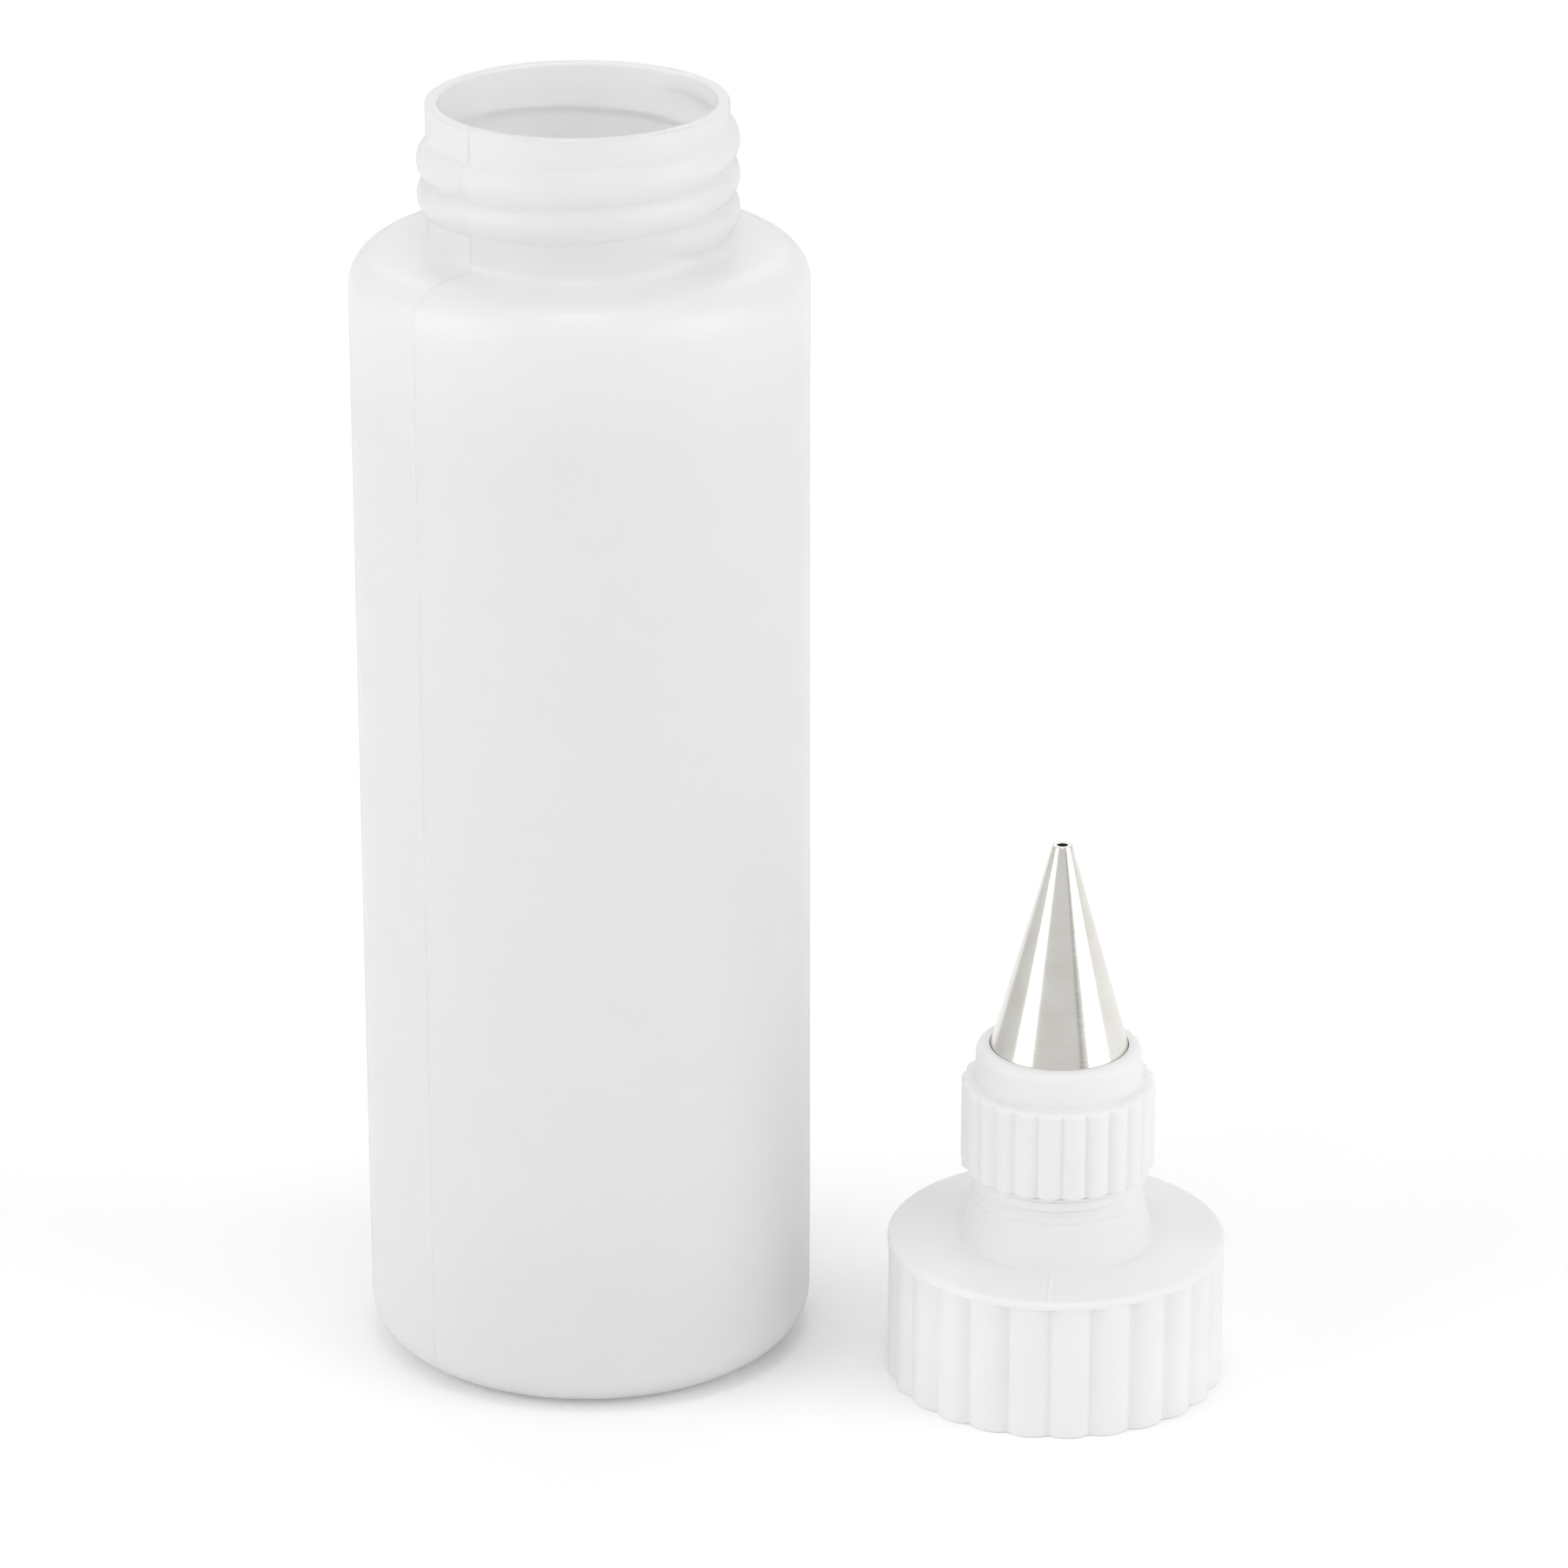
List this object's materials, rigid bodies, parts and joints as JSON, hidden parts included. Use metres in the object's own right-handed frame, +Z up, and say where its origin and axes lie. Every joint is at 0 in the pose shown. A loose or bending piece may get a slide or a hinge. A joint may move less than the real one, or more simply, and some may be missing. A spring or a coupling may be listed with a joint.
{
  "type": "glue applicator bottle",
  "caption": "Open translucent squeeze bottle with a threaded neck, and beside it its fluted screw cap, standing upright with a coupling nut that clamps a conical metal nozzle.",
  "frame": {"origin": "middle of the ground rectangle that the standing bottle and its standing cap cover together, at the height of the surface that they stand on", "axes": "+Z up along the bottle's axis, +X from the bottle's axis to the cap's axis, +Y to the back"},
  "size_m": [0.1058, 0.054, 0.1557],
  "materials": {
    "bottle_ldpe": "milky, translucent, satin",
    "white_pp": "white, satin gloss",
    "seal_foam": "soft, matt",
    "nozzle_steel": "polished, with fine turning marks"
  },
  "bodies": {
    "bottle": {"bottle": "bottle_ldpe"},
    "rim_washer": {"rim_washer": "seal_foam"},
    "screw_cap": {"screw_cap": "white_pp"},
    "nozzle": {"nozzle": "nozzle_steel"},
    "coupling_nut": {"coupling_nut": "white_pp"}
  },
  "joints": [
    {"name": "cap_lift", "type": "slide", "parent": "bottle", "child": "rim_washer", "axis": [0, 0, 1], "range_m": [0, 0.16]},
    {"name": "cap_turn", "type": "hinge", "parent": "rim_washer", "child": "screw_cap", "pos_m": [0.0324, 0, 0], "axis": [0, 0, 1], "continuous": true},
    {"name": "nozzle_lift", "type": "slide", "parent": "screw_cap", "child": "nozzle", "axis": [0, 0, 1], "range_m": [0, 0.0075]},
    {"name": "nut_turn", "type": "hinge", "parent": "nozzle", "child": "coupling_nut", "pos_m": [0.0324, 0, 0], "axis": [0, 0, 1], "range_deg": [0, 1080]}
  ],
  "couplings": [
    {"joint": "nozzle_lift", "follows": "nut_turn", "m_per_rad": 0.00039788}
  ]
}
